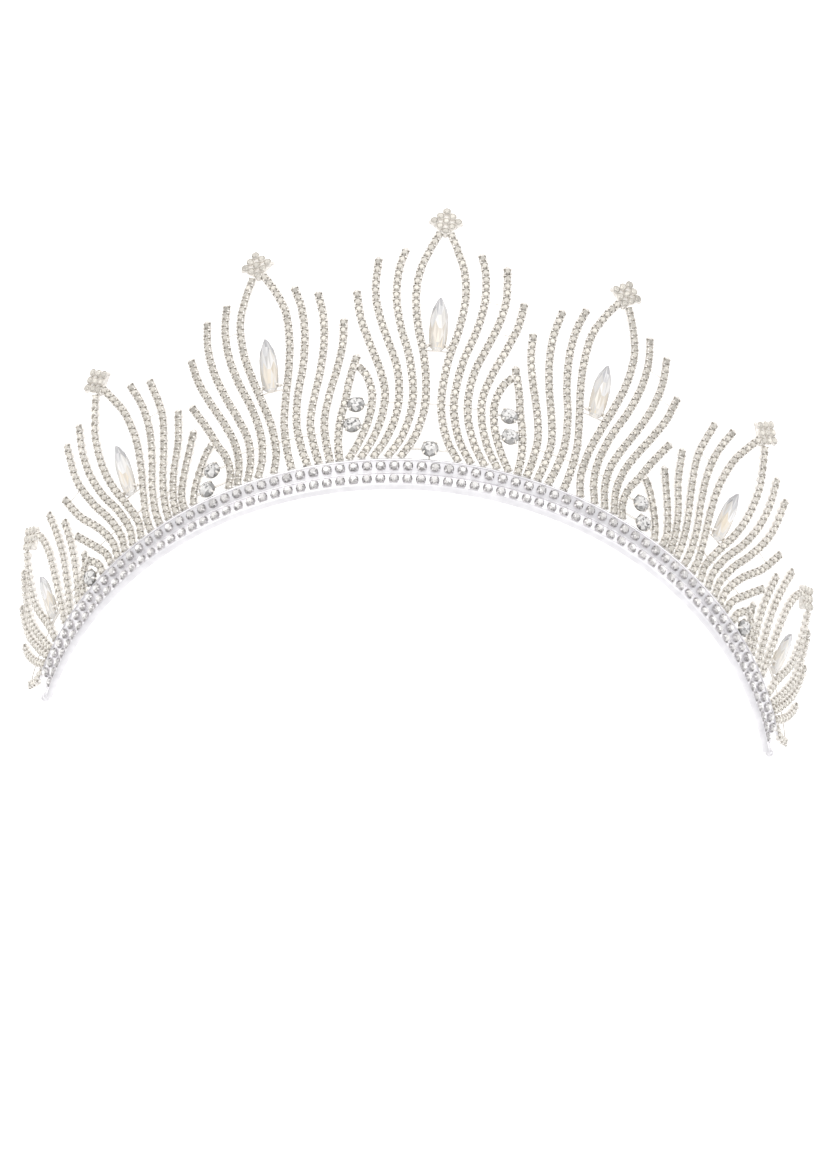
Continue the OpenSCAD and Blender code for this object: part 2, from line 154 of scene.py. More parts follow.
# Thin bridge wires high up between neighbouring strands: plume, half, the inner strand of the two, v
BRIDGES = [
    ("center", -1, 0, 46.5), ("center", -1, 2, 37.6), ("center", 1, 1, 41), ("center", 1, 2, 34.6),
    ("left_1", 1, 0, 38.2), ("left_1", -1, 1, 39), ("left_1", -1, 2, 34),
    ("right_1", 1, 1, 38.4), ("right_1", 1, 2, 33.8), ("right_1", -1, 0, 40),
    ("left_2", 1, 2, 25.5), ("left_2", -1, 1, 29),
    ("right_2", 1, 2, 22.5), ("right_2", -1, 1, 29),
    ("left_3", 1, 1, 18.5), ("right_3", 1, 1, 18.5),
]

# Loops: suffix, azimuth, side, kind
LOOPS = [
    ("left_1", -11, -1, 0), ("right_1", 11, 1, 0),
    ("left_2", -31.3, -1, 1), ("right_2", 31.3, 1, 1),
    ("left_3", -55.6, -1, 2), ("right_3", 55.6, 1, 2),
]
# Kinds of loop: two strands, which of them ends against the other, the round stones, cross wires
LOOP_KINDS = [
    (
        [(0.5, FOOT_V), (-1.6, 9.5), (-3.4, 14), (-4.2, 19), (-3.2, 23.5), (-1.2, 26.2)],
        [(2, FOOT_V), (2.2, 10), (1.7, 14.5), (0.7, 18.5), (-0.1, 22.5), (-1.6, 27.8)],
        0, [(-1.25, 17.3), (-0.45, 13.1)], [],
    ),
    (
        [(-2.7, FOOT_V), (-3.7, 9), (-3.5, 12.5), (-2.3, 15.8), (-1.05, 20), (1.2, 26)],
        [(4.7, FOOT_V), (3.8, 8.8), (2.1, 12), (0.3, 14.7), (-1.4, 16.6)],
        1, [(-0.4, 11), (1.3, 7.6)], [],
    ),
    (
        [(-3.4, FOOT_V), (-3.2, 8), (-2, 10), (-0.7, 11.4)],
        [(2.9, FOOT_V), (2, 8.2), (-0.3, 11), (-1.1, 13.1)],
        0, [(-0.3, 7.3)], [10.2],
    ),
]
# The round stone over the foot of the centre plume: u, v
FOOT_STONE = (0, 8)

# Places, and the way from the tiara to the frame


def radius_at(v, w=0.0, slope=FLARE):
    return BAND_R + FOOT_V * math.sin(FLARE) + (v - FOOT_V) * math.sin(slope) + w * math.cos(slope)


def height_at(v, w=0.0, slope=FLARE):
    return FOOT_V * math.cos(FLARE) + (v - FOOT_V) * math.cos(slope) - w * math.sin(slope)


def turn_at(az, u, v, slope=FLARE):
    """The angle round the tiara's axis, in radians."""
    return math.radians(az) + u / radius_at(v, 0.0, slope)


def on_circle(a, radius, height):
    """A point at an angle round the tiara's axis."""
    return np.array([radius * math.sin(a), -radius * math.cos(a), height])


def place(az, u, v, w=0.0, slope=FLARE):
    return on_circle(turn_at(az, u, v, slope), radius_at(v, w, slope), height_at(v, w, slope))


def axes_round(a, slope):
    """The axes at an angle round the tiara's axis."""
    across = np.array([math.cos(a), math.sin(a), 0.0])
    out = on_circle(a, math.cos(slope), -math.sin(slope))
    return np.array([across, np.cross(out, across), out])


def axes_at(az, u, v, slope=FLARE):
    return axes_round(turn_at(az, u, v, slope), slope)


def unit(vector):
    return vector / np.linalg.norm(vector)


def turned(axes, angle):
    """Axes turned about their third one."""
    c, s = math.cos(angle), math.sin(angle)
    return np.array([c * axes[0] + s * axes[1], -s * axes[0] + c * axes[1], axes[2]])


def leaned(axes, draw, most_x, most_y):
    """Axes leaned by two random angles of at most these."""
    about_x, about_y = draw.uniform(-most_x, most_x), draw.uniform(-most_y, most_y)
    out = unit(axes[2] + about_y * axes[0] + about_x * axes[1])
    across = unit(axes[0] - out * (axes[0] @ out))
    return np.array([across, np.cross(out, across), out])


def row_direction(vectors):
    """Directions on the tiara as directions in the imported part's frame."""
    return np.asarray(vectors, float) @ REST_AXES


def to_row(points):
    """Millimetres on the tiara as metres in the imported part's frame."""
    return (row_direction(points) + REST_SHIFT) / 1000


# Shapes: each is a list of points and a list of faces


class Soup:
    """Many small closed shapes that become one mesh."""

    def __init__(self):
        self.points, self.faces, self.tints, self.count = [], [], [], 0

    def add(self, shape, origin=None, axes=None, tints=()):
        """Adds a shape at a place. Either all shapes of a mesh have tints, one a face, or none has."""
        points, faces = shape
        points = np.asarray(points, float)
        if axes is not None:
            points = points @ axes
        if origin is not None:
            points = points + origin
        self.points.append(points)
        self.faces.extend(tuple(i + self.count for i in face) for face in faces)
        self.tints.extend(tints)
        self.count += len(points)

    def piece(self, name, material, slot, replaced=(), smooth_below=None):
        mesh = bpy.data.meshes.new(name)
        mesh.from_pydata(to_row(np.concatenate(self.points)).tolist(), [], self.faces)
        if smooth_below:
            mesh.shade_smooth()
            mesh.set_sharp_from_angle(angle=math.radians(smooth_below))
        # Each face's tint becomes the facet colours: painted glints on stones, painted shade on the band.
        if self.tints:
            corners = [(*tint, 1.0) for tint, face in zip(self.tints, self.faces) for _ in face]
            colours = mesh.color_attributes.new("facet", "FLOAT_COLOR", "CORNER")
            colours.data.foreach_set("color", np.array(corners, np.float32).ravel())
        mesh.materials.append(material)
        mesh.update()
        made = bpy.data.objects.new(name, mesh)
        bpy.context.scene.collection.objects.link(made)
        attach(made, "root")
        if replaced:
            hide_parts(*replaced)


def lathe(rings, closed=True):
    """A shape from rings of equally many points, the lowest first, closed at its ends or open."""
    n, top = len(rings[0]), (len(rings) - 1) * len(rings[0])
    points = [p for ring in rings for p in ring]
    faces = []
    for low in range(0, top, n):
        for k in range(n):
            m = (k + 1) % n
            faces.append((low + k, low + m, low + n + m, low + n + k))
    if closed:
        faces += [tuple(range(n - 1, -1, -1)), tuple(range(top, top + n))]
    return points, faces


def circle(radius, z, sides, offset=0.0):
    """A ring of points; the offset turns it by a share of a side."""
    turns = [2 * math.pi * (k + offset) / sides for k in range(sides)]
    return [(radius * math.cos(a), radius * math.sin(a), z) for a in turns]


def round_shell(profile, sides):
    """A shape of revolution from (radius, height) points."""
    return lathe([circle(radius, z, sides) for radius, z in profile])


def cut_square(half, corner, z):
    """An eight-sided ring: a square with its corners cut."""
    a, b = half, half - corner
    return [(a, -b, z), (a, b, z), (b, a, z), (-b, a, z), (-a, b, z), (-a, -b, z), (-b, -a, z), (b, -a, z)]


def square_shell(profile):
    """A shape of cut squares from (half width, cut of the corners, height) rows."""
    return lathe([cut_square(*row) for row in profile])


def slab(low, high):
    """A box from its low corner to its high one."""
    (x0, y0, z0), (x1, y1, z1) = low, high
    return lathe([[(x0, y0, z), (x1, y0, z), (x1, y1, z), (x0, y1, z)] for z in (z0, z1)])


TAB_TIP = 0.62


def tab(path, width, thickness):
    """A bent metal tab along a path of (distance out, height) points, narrower at its tip."""
    rings = []
    for i, (x, z) in enumerate(path):
        before, after = path[max(i - 1, 0)], path[min(i + 1, len(path) - 1)]
        dx, dz = after[0] - before[0], after[1] - before[1]
        size = math.hypot(dx, dz)
        nx, nz = -dz / size * thickness / 2, dx / size * thickness / 2
        half = width / 2 * (TAB_TIP if i == len(path) - 1 else 1.0)
        rings.append([(x + nx, -half, z + nz), (x - nx, -half, z - nz),
                      (x - nx, half, z - nz), (x + nx, half, z + nz)])
    return lathe(rings)


def spun(shape, angle):
    """A shape turned about the z axis."""
    points, faces = shape
    c, s = math.cos(angle), math.sin(angle)
    return [(c * x - s * y, s * x + c * y, z) for x, y, z in points], faces


def four_round(shape):
    """Four copies of a shape round the z axis, over the corners of a square."""
    return [spun(shape, math.pi / 4 + k * math.pi / 2) for k in range(4)]


def joined(*shapes):
    points, faces = [], []
    for p, f in shapes:
        faces.extend(tuple(i + len(points) for i in face) for face in f)
        points.extend(p)
    return points, faces


def tube(points, radius, sides=8):
    """A round wire through points in space, closed at its ends."""
    points = [np.asarray(p, float) for p in points]
    last = len(points) - 1
    tangents = [unit(points[min(i + 1, last)] - points[max(i - 1, 0)]) for i in range(len(points))]
    a = np.array([0.0, 0.0, 1.0]) if abs(tangents[0][2]) < 0.9 else np.array([1.0, 0.0, 0.0])
    rings = []
    for p, tangent in zip(points, tangents):
        a = unit(a - tangent * (a @ tangent))
        b = np.cross(tangent, a)
        rings.append([p + x * a + y * b for x, y, _ in circle(radius, 0.0, sides)])
    return lathe(rings)


def ball(radius, sides, rows):
    turns = [math.pi * i / rows for i in range(1, rows)]
    rings = [circle(radius * math.sin(a), -radius * math.cos(a), sides) for a in turns]
    points, faces = lathe(rings, closed=False)
    low, high, top = len(points), len(points) + 1, (len(rings) - 1) * sides
    for k in range(sides):
        m = (k + 1) % sides
        faces += [(low, m, k), (high, top + k, top + m)]
    return [*points, (0, 0, -radius), (0, 0, radius)], faces


# Cut stones. The girdle's upper edge is at height 0.

STONE_SIDES = 8
STAR_OUT, STAR_RISE = 0.03, 0.56
KITE_SHARE, KITE_DROP = 0.42, 0.62
# Kinds of a cut stone's faces, in their order
FACET_KINDS = ["table"] + [
    "star", "kite", "break", "break", "girdle", "girdle", "lower", "lower", "pavilion"] * STONE_SIDES
MOSAIC_KINDS = ["mosaic"] * 3 * STONE_SIDES + FACET_KINDS[1:]
MOSAIC_SHARE = 0.55
# The share of the table's small faces that get a dark painted reflection
MOSAIC_DARK = 0.3


def cut_stone(diameter, crown, pavilion, table, girdle):
    """A round brilliant: table, stars, kites and breaks over the girdle, and kites to a point below it."""
    n, radius = STONE_SIDES, diameter / 2
    tables = circle(radius * table, crown, n)
    stars = circle(radius * ((1 + table) / 2 + STAR_OUT), crown * STAR_RISE, n, 0.5)
    high = circle(radius, 0.0, 2 * n)
    low = circle(radius, -girdle, 2 * n)
    kites = circle(radius * KITE_SHARE, -girdle - KITE_DROP * pavilion, n, 0.5)
    points = tables + stars + high + low + kites + [(0.0, 0.0, -girdle - pavilion)]
    # The first point of each ring in the list, and the last point of all
    t, s, h, b, q, c = 0, n, 2 * n, 4 * n, 6 * n, 7 * n
    faces = [tuple(range(n))]
    for k in range(n):
        m, before = (k + 1) % n, (k - 1) % n
        g0, g1, g2 = 2 * k, 2 * k + 1, (2 * k + 2) % (2 * n)
        faces.append((t + k, s + k, t + m))
        faces.append((t + k, s + before, h + g0, s + k))
        faces.append((s + k, h + g0, h + g1))
        faces.append((s + k, h + g1, h + g2))
        faces.append((b + g0, b + g1, h + g1, h + g0))
        faces.append((b + g1, b + g2, h + g2, h + g1))
        faces.append((q + k, b + g1, b + g0))
        faces.append((q + k, b + g2, b + g1))
        faces.append((c, q + k, b + g0, q + before))
    return points, faces


def mosaic_table(stone):
    """The same stone with its table divided into small flat faces, as its back shows through it."""
    points, faces = stone
    n, base = STONE_SIDES, len(points)
    corners = np.array(points[:n])
    middle = corners.mean(axis=0)
    inner = [middle + MOSAIC_SHARE * ((corners[k] + corners[(k + 1) % n]) / 2 - middle) for k in range(n)]
    mosaic = []
    for k in range(n):
        m, before = (k + 1) % n, (k - 1) % n
        mosaic += [(k, m, base + k), (k, base + k, base + before), (base + k, base + m, base + n)]
    return [*points, *inner, middle], mosaic + faces[1:]


def painted_facet_glints(draw, levels, cast, kinds=FACET_KINDS):
    """A painted glint for each face: a random level in the range of its kind, times the stone's cast."""
    tints = []
    for kind in kinds:
        if kind == "mosaic" and draw.random() < MOSAIC_DARK:
            kind = "dark mosaic"
        level = draw.uniform(*levels[kind])
        tints.append(tuple(level * c for c in cast))
    return tints


# Marquise stones. A share of the half length runs from -1 at the blunt foot to 1 at the point.

MARQUISE_FULLNESS = 0.6
FOOT_BLUNTNESS = 3.5
MARQUISE_SECTIONS = (-0.985, -0.92, -0.6, -0.08, 0.42, 0.78, 0.975)
# How far the points of a section stand alternately before and behind it
MARQUISE_STAGGER = 0.15
# A section: shares of the half width and of the height over or under the girdle, from the middle of the
# table round the right side and the back
MARQUISE_ROUND = (
    (0.2, 1.0), (0.56, 0.8), (0.86, 0.4), (1.0, 0.0), (1.0, -0.08), (0.5, -0.62), (0.0, -1.0),
    (-0.5, -0.62), (-1.0, -0.08), (-1.0, 0.0), (-0.86, 0.4), (-0.56, 0.8), (-0.2, 1.0),
)
CROWN_H = 0.4 * MARQUISE_H
BACK_H = 0.6 * MARQUISE_H - 0.1
# The share of the height that is gone at the ends
END_FALL = 0.5
# Two kinds of streaks, painted glints bright and grey: the range of their levels, and their step along the
# stone
STREAKS = (((0.9, 1.0), 0.1), ((0.7, 0.95), -0.1))
STREAK_SPREAD = 0.2
# Levels of the narrow sides, darker as painted shade, which start at this share of the half width
SIDE_LEVELS, SIDE_FROM = (0.64, 0.8), 0.8
STONE_LEVELS = (0.92, 1.0)
# The painted shade of the upper point, darker and bluer: where it starts, its run until it is full, what it
# takes from the level, and what it adds to blue
POINT_SHADE_START, POINT_SHADE_RUN, POINT_SHADE_DEPTH, POINT_SHADE_BLUE = 0.45, 0.42, 0.48, 0.04
# The cream below the middle, a painted warm reflection: where it is strongest, its reach, what it takes from
# green and from blue, and the random share of it that a facet has
CREAM_AT, CREAM_REACH, CREAM_GREEN, CREAM_BLUE = -0.45, 0.75, 0.11, 0.28
CREAM_SHARES = (0.3, 1.0)


def marquise_half(t):
    """Half the width of the stone at a share of its half length."""
    if t < 0:
        return MARQUISE_W / 2 * (1 - abs(t) ** FOOT_BLUNTNESS) ** (1 / FOOT_BLUNTNESS)
    return MARQUISE_W / 2 * math.cos(math.pi / 2 * t) ** MARQUISE_FULLNESS


def marquise_stone():
    """Long three-sided facets, point to foot in rows from end to end, over a keeled back."""
    n = len(MARQUISE_ROUND)
    following = MARQUISE_ROUND[1:] + MARQUISE_ROUND[:1]
    between = [((x + a) / 2, (z + b) / 2) for (x, z), (a, b) in zip(MARQUISE_ROUND, following)]
    points, faces = [], []
    for i, middle in enumerate(MARQUISE_SECTIONS):
        stagger = MARQUISE_STAGGER if 1 < i < len(MARQUISE_SECTIONS) - 1 else 0.0
        for k, (x, z) in enumerate((MARQUISE_ROUND, between)[i % 2]):
            t = middle + (stagger if k % 2 else -stagger)
            height = (CROWN_H if z > 0 else BACK_H) * (1 - END_FALL * t ** 4)
            points.append((x * marquise_half(t), t * MARQUISE_L / 2, z * height))
    for i in range(len(MARQUISE_SECTIONS) - 1):
        for k in range(n):
            m = (k + 1) % n
            a, b, c, d = i * n + k, i * n + m, (i + 1) * n + k, (i + 1) * n + m
            faces += [(a, b, d), (a, d, c)] if i % 2 else [(a, b, c), (b, d, c)]
    last = (len(MARQUISE_SECTIONS) - 1) * n
    return points, faces + [tuple(range(n - 1, -1, -1)), tuple(range(last, last + n))]


def marquise_tints(draw):
    """Painted light per facet: a darker, bluer shade at the upper point, a cream to peach reflection below
    the middle, clear between.
    """
    depth = draw.uniform(*STONE_LEVELS)
    tints = []
    for low, high in zip(MARQUISE_SECTIONS, MARQUISE_SECTIONS[1:]):
        for x, _ in MARQUISE_ROUND:
            for levels, step in STREAKS:
                along = (low + high) / 2 + step + draw.uniform(-STREAK_SPREAD, STREAK_SPREAD)
                point_shade = min(1.0, max(0.0, (along - POINT_SHADE_START) / POINT_SHADE_RUN))
                cream = max(0.0, 1 - abs(along - CREAM_AT) / CREAM_REACH)
                level = depth * draw.uniform(*(SIDE_LEVELS if abs(x) > SIDE_FROM else levels))
                level *= 1 - POINT_SHADE_DEPTH * point_shade
                cream *= draw.uniform(*CREAM_SHARES)
                green, blue = 1 - CREAM_GREEN * cream, 1 + POINT_SHADE_BLUE * point_shade - CREAM_BLUE * cream
                tints.append((level, level * green, level * blue))
    return tints + [tints[0], tints[-1]]


MARQUISE = marquise_stone()

# Cup chain. Heights are over the middle line of the strand.

CUP_HALF = 0.76
CUP_DEPTH = 0.78
CUP_PITCH = 1.01 * CHAIN_D
CHAIN_STONE_D = 1.34
CHAIN_STONE_W = 0.24
CREST_PITCH = CREST_SIDE / 3
CREST_CUP_W = 0.06
PLATE_HALF = CREST_SIDE / 2 - 0.3
PLATE_CORNER = 0.2
PLATE_TOP = 0.16
# The bead under each corner cup of a crest: how far beyond the cup's middle, and how low
BEAD_STEP, BEAD_DROP = 0.4, 0.31
END_CAP_STEP = 0.72
# Small random turns and leans that no two cups share, and the turns of the stones in them
CUP_TURN, CUP_LEANS, CREST_LEAN, STONE_TURN = 0.06, (0.05, 0.06), 0.04, 0.8


def chain_cup(linked):
    """A square cup with four folded prongs and, towards the next cup, a link."""
    wall = square_shell([
        (0.48, 0.2, -CUP_DEPTH), (0.66, 0.28, -0.35 * CUP_DEPTH), (CUP_HALF, 0.34, 0.02),
        (CUP_HALF, 0.34, 0.2), (CUP_HALF - 0.08, 0.31, 0.22), (CUP_HALF - 0.12, 0.3, 0.0),
    ])
    prong = tab([(0.93, -0.1), (0.94, 0.3), (0.86, 0.52), (0.58, 0.6)], 0.34, 0.12)
    link = [slab((-0.24, 0.45, -0.62), (0.24, 1.15, -0.46))] if linked else []
    return joined(wall, *four_round(prong), *link)


CUP, LINKED_CUP = chain_cup(False), chain_cup(True)
# A round cup with a rolled edge, soldered to its neighbours, and the plate that nine of them stand on
CREST_CUP = round_shell([
    (0.5, -CUP_DEPTH), (0.7, -0.3), (0.8, 0.0), (0.8, 0.24),
    (0.755, 0.36), (0.69, 0.36), (0.66, 0.24), (0.64, 0.0),
], 16)
PLATE = square_shell([
    (PLATE_HALF - 0.1, PLATE_CORNER, -CREST_T / 2), (PLATE_HALF, PLATE_CORNER, -CREST_T / 2 + 0.08),
    (PLATE_HALF, PLATE_CORNER, -CREST_T / 2 + 0.3), (PLATE_HALF - 0.45, PLATE_CORNER, PLATE_TOP),
])
END_CAP = ball(0.6, 12, 8)
CORNER_BEAD = ball(0.52, 14, 10)
CHAIN_STONE = cut_stone(CHAIN_STONE_D, 0.36, 0.42, table=0.58, girdle=0.05)


def smoothed(points, steps=10):
    """A smooth line through (u, v) points."""
    p = [np.array(q, float) for q in points]
    p = [2 * p[0] - p[1], *p, 2 * p[-1] - p[-2]]
    line = []
    for i in range(1, len(p) - 2):
        for k in range(steps):
            t = k / steps
            line.append(0.5 * (2 * p[i] + (p[i + 1] - p[i - 1]) * t
                + (2 * p[i - 1] - 5 * p[i] + 4 * p[i + 1] - p[i + 2]) * t * t
                + (3 * p[i] - p[i - 1] - 3 * p[i + 1] + p[i + 2]) * t ** 3))
    line.append(p[-2])
    return line


def across_at(points, v):
    """How far across a strand runs at a height."""
    line = smoothed(points)
    return float(np.interp(v, [q[1] for q in line], [q[0] for q in line]))


def anywhere(u, v):
    return True


def strand_frames(az, side, points, keep, draw, slope):
    """Where the cups of a strand stand: origins and axes. keep(u, v) says whether a cup may stand there."""
    line = np.array([(side * u, v) for u, v in smoothed(points)])
    space = np.array([place(az, u, v, 0.0, slope) for u, v in line])
    length = np.concatenate([[0], np.cumsum(np.linalg.norm(np.diff(space, axis=0), axis=1))])

    def on(curve, at):
        return np.array([np.interp(at, length, column) for column in curve.T])

    inside = [at for at, (u, v) in zip(length, line) if keep(u, v)]
    end = min(length[-1], inside[-1] + CHAIN_D / 2) if inside else length[-1]
    count = max(2, round(end / CUP_PITCH))
    frames = []
    for k in range(count):
        at = (k + 0.5) * end / count
        along = unit(on(space, at + 0.5) - on(space, at - 0.5))
        out = axes_at(az, *on(line, at), slope)[2]
        out = unit(out - along * (out @ along))
        axes = turned(np.array([np.cross(along, out), along, out]), draw.uniform(-CUP_TURN, CUP_TURN))
        frames.append((on(space, at), leaned(axes, draw, *CUP_LEANS)))
    return frames


def add_chain_stone(stones, at, axes, draw, shade):
    cut = turned(axes, draw.uniform(0, STONE_TURN))
    tints = painted_facet_glints(draw, CHAIN_GLINT_LEVELS, [shade * c for c in WARM])
    stones.add(CHAIN_STONE, at + CHAIN_STONE_W * axes[2], cut, tints)


def add_strand(metal, stones, az, side, points, draw, keep=anywhere, slope=FLARE, capped=True):
    """Cups and stones along a strand. A capped strand ends free, in a round cap."""
    frames = strand_frames(az, side, points, keep, draw, slope)
    for i, (at, axes) in enumerate(frames):
        last = i == len(frames) - 1
        metal.add(CUP if last else LINKED_CUP, at, axes)
        # The last stone of a capped strand is darker, a painted shade.
        add_chain_stone(stones, at, axes, draw, END_PAINTED_SHADE if capped and last else 1.0)
    if capped:
        at, axes = frames[-1]
        metal.add(END_CAP, at + END_CAP_STEP * axes[1], axes)


def add_wire(metal, az, start, end, w=0.0, radius=0.19, slope=FLARE):
    """A thin wire between two (u, v) points, bent round the tiara."""
    metal.add(tube([place(az, u, v, w, slope) for u, v in np.linspace(start, end, 4)], radius))


def add_crest(metal, stones, az, v, draw, slope):
    """Nine cups in a square that stands on its corner, on one plate."""
    origin, axes = place(az, 0, v, 0.0, slope), turned(axes_at(az, 0, v, slope), math.pi / 4)
    metal.add(PLATE, origin, axes)
    for i in (-1, 0, 1):
        for j in (-1, 0, 1):
            at = origin + np.array([i * CREST_PITCH, j * CREST_PITCH, CREST_CUP_W]) @ axes
            cup = leaned(axes, draw, CREST_LEAN, CREST_LEAN)
            metal.add(CREST_CUP, at, cup)
            corner = i and j
            # The corner stones are darker, a painted shade.
            add_chain_stone(stones, at, cup, draw, CORNER_PAINTED_SHADE if corner else 1.0)
            if corner:
                reach = CREST_PITCH + BEAD_STEP
                metal.add(CORNER_BEAD, origin + np.array([i * reach, j * reach, -BEAD_DROP]) @ axes, axes)


# Settings of the large stones

STONE_R = ROUND_STONE_D / 2
PAVILION = 0.6 * ROUND_STONE_H
ROUND_GIRDLE = 0.08
ROUND_STONE = mosaic_table(
    cut_stone(ROUND_STONE_D, 0.4 * ROUND_STONE_H, PAVILION - ROUND_GIRDLE, table=0.6, girdle=ROUND_GIRDLE))
# Side wires of a round stone's cup, and how far from its middle they start
SIDE_WIRE_R, SIDE_WIRE_W, SIDE_WIRE_FROM = 0.24, -0.1, 0.4 * ROUND_STONE_D
# The stem under the centre plume's round stone, and how far under the stone's middle it starts
STEM_R, STEM_FROM = 0.17, 1.3
# Rails and claws of a marquise stone, by shares of its half length and half width, and heights
RAIL_ALONG, RAIL_ACROSS, RAIL_W, RAIL_R = (-0.9, -0.7, -0.5, -0.3, -0.1), 0.6, -0.75, 0.13
CLAW_ALONG, CLAW_R = -0.8, 0.2
CLAW_PATH = ((RAIL_ACROSS, RAIL_W), (1.05, -0.25), (1.1, 0.12), (0.78, 0.5))
# Lugs beside a marquise stone's foot: their height over it, distance across and outward, and wires
LUG = ball(0.36, 12, 8)
LUG_RISE, LUG_ACROSS, LUG_W, LUG_WIRE_R = 0.9, 0.42 * MARQUISE_W + 0.3, 0.1, 0.17
SEAT_WIRE_R = 0.15


def round_setting():
    """A cone-shaped cup under the pavilion, and four claws."""
    foot, rim, wall = 0.3, 0.86 * STONE_R, 0.16
    low = -PAVILION - GAP
    high = low + (rim - foot) * PAVILION / STONE_R
    cup = round_shell([(foot, low - wall), (foot + wall, low - wall * 0.4), (rim + wall, high - 0.05),
                       (rim + wall * 0.6, high + 0.02), (rim, high), (foot, low)], 24)
    claw = tab([(1.05, -0.75), (STONE_R + 0.02, -0.28), (STONE_R + 0.12, 0.0), (STONE_R + 0.04, 0.24),
                (STONE_R - 0.34, 0.5)], 0.36, 0.17)
    return joined(cup, *four_round(claw))


ROUND_SETTING = round_setting()


def add_round_setting(metal, az, side, at, strands):
    """The cup of a round stone, and a wire from it to each of two strands."""
    u, v = at
    metal.add(ROUND_SETTING, place(az, side * u, v, GIRDLE_W), axes_at(az, side * u, v))
    for points in strands:
        reach = across_at(points, v)
        edge = u + math.copysign(SIDE_WIRE_FROM, reach - u)
        add_wire(metal, az, (side * edge, v), (side * reach, v), SIDE_WIRE_W, SIDE_WIRE_R)


def add_round_stone(node, az, u, v, draw):
    gem = Soup()
    tints = painted_facet_glints(draw, ROUND_GLINT_LEVELS, NEUTRAL, MOSAIC_KINDS)
    gem.add(ROUND_STONE, place(az, u, v, GIRDLE_W), axes_at(az, u, v), tints)
    gem.piece(f"{node}_stone", ROUND_CRYSTAL, "round_stone", [node])


def add_marquise_setting(metal, az, foot, reach, slope):
    """A wire behind the stone's foot, and on each side a rail under its edge, a claw and a lug.

    reach(side, v) is where the nearest strand runs on a side at a height."""
    middle, seat_v, lug_v = foot + MARQUISE_L / 2, foot + SEAT_RISE, foot + LUG_RISE
    axes, origin = axes_at(az, 0, middle, slope), place(az, 0, middle, 0.0, slope)
    add_wire(metal, az, (reach(-1, seat_v), seat_v), (reach(1, seat_v), seat_v), SEAT_W, SEAT_WIRE_R, slope)

    def beside(side, t, share, w):
        return origin + np.array([side * share * marquise_half(t), t * MARQUISE_L / 2, w]) @ axes

    for side in (-1, 1):
        metal.add(tube([beside(side, t, RAIL_ACROSS, RAIL_W) for t in RAIL_ALONG], RAIL_R))
        metal.add(tube([beside(side, CLAW_ALONG, share, w) for share, w in CLAW_PATH], CLAW_R))
        strand_u = reach(side, lug_v)
        lug_u = math.copysign(LUG_ACROSS, strand_u)
        metal.add(LUG, place(az, lug_u, lug_v, LUG_W, slope), axes)
        add_wire(metal, az, (lug_u, lug_v), (strand_u, lug_v), 0.0, LUG_WIRE_R, slope)


# Materials. Scales of textures are per metre.

POLISH_GRAIN, PIT_GRAIN = 2.6, 9
PIT_STRENGTH, PIT_DEPTH = 0.12, 0.00002
FOIL_CELLS, FOIL_GLINTS = 620, 2400
GLASS_HAZE = (0.02, 0.12)


def fill(node, values):
    for socket, value in values.items():
        node.inputs[socket].default_value = value


class Surface:
    """A material whose shader is fed by procedural textures."""

    def __init__(self, name, values):
        self.material = bpy.data.materials.new(name)
        self.material.use_nodes = True
        self.nodes, self.links = self.material.node_tree.nodes, self.material.node_tree.links
        self.shader = self.nodes["Principled BSDF"]
        fill(self.shader, values)

    def feed(self, socket, source):
        self.links.new(source, self.shader.inputs[socket])

    def texture(self, kind, **values):
        """A texture in the object's own coordinates."""
        made, where = self.nodes.new(kind), self.nodes.new("ShaderNodeTexCoord")
        fill(made, values)
        self.links.new(where.outputs["Object"], made.inputs["Vector"])
        return made.outputs

    def noise(self, **values):
        return self.texture("ShaderNodeTexNoise", **values)["Fac"]

    def ramp(self, source, low, high, start=0.3, end=0.7):
        """A colour between two, after a texture."""
        made = self.nodes.new("ShaderNodeValToRGB")
        set_ramp(made, start, low, end, high)
        self.links.new(source, made.inputs["Fac"])
        return made.outputs["Color"]

    def between(self, source, low, high):
        """A value between two, after a texture."""
        made = self.nodes.new("ShaderNodeMapRange")
        fill(made, {"To Min": low, "To Max": high})
        self.links.new(source, made.inputs["Value"])
        return made.outputs["Result"]

    def bumped(self, source, strength, distance):
        made = self.nodes.new("ShaderNodeBump")
        fill(made, {"Strength": strength, "Distance": distance})
        self.links.new(source, made.inputs["Height"])
        return made.outputs["Normal"]

    def by_facet(self, colour):
        """A colour multiplied by the tint of each facet: painted glints on stones, painted shade on the
        band.
        """
        facet, both = self.nodes.new("ShaderNodeAttribute"), self.nodes.new("ShaderNodeMix")
        facet.attribute_name = "facet"
        both.data_type, both.blend_type = "RGBA", "MULTIPLY"
        fill(both, {"Factor": 1.0})
        self.links.new(colour, both.inputs["A"])
        self.links.new(facet.outputs["Color"], both.inputs["B"])
        return both.outputs["Result"]


def set_ramp(node, start, low, end, high):
    first, second = node.color_ramp.elements
    first.position, second.position = start, end
    first.color, second.color = (*low, 1), (*high, 1)


def plated_metal(name, dull, bright, rough_low, rough_high, grain=900.0, with_painted_shade=False):
    """Plated metal: a cloudy tint of scale grain, uneven polish, and fine pits; with_painted_shade
    multiplies the tint by the faces' painted shade.
    """
    made = Surface(name, {"Metallic": 1.0})
    tint = made.ramp(made.noise(Scale=grain, Detail=4), dull, bright)
    made.feed("Base Color", made.by_facet(tint) if with_painted_shade else tint)
    polish = made.noise(Scale=grain * POLISH_GRAIN, Detail=3)
    pits = made.noise(Scale=grain * PIT_GRAIN, Detail=2)
    made.feed("Roughness", made.between(polish, rough_low, rough_high))
    made.feed("Normal", made.bumped(pits, PIT_STRENGTH, PIT_DEPTH))
    return made.material


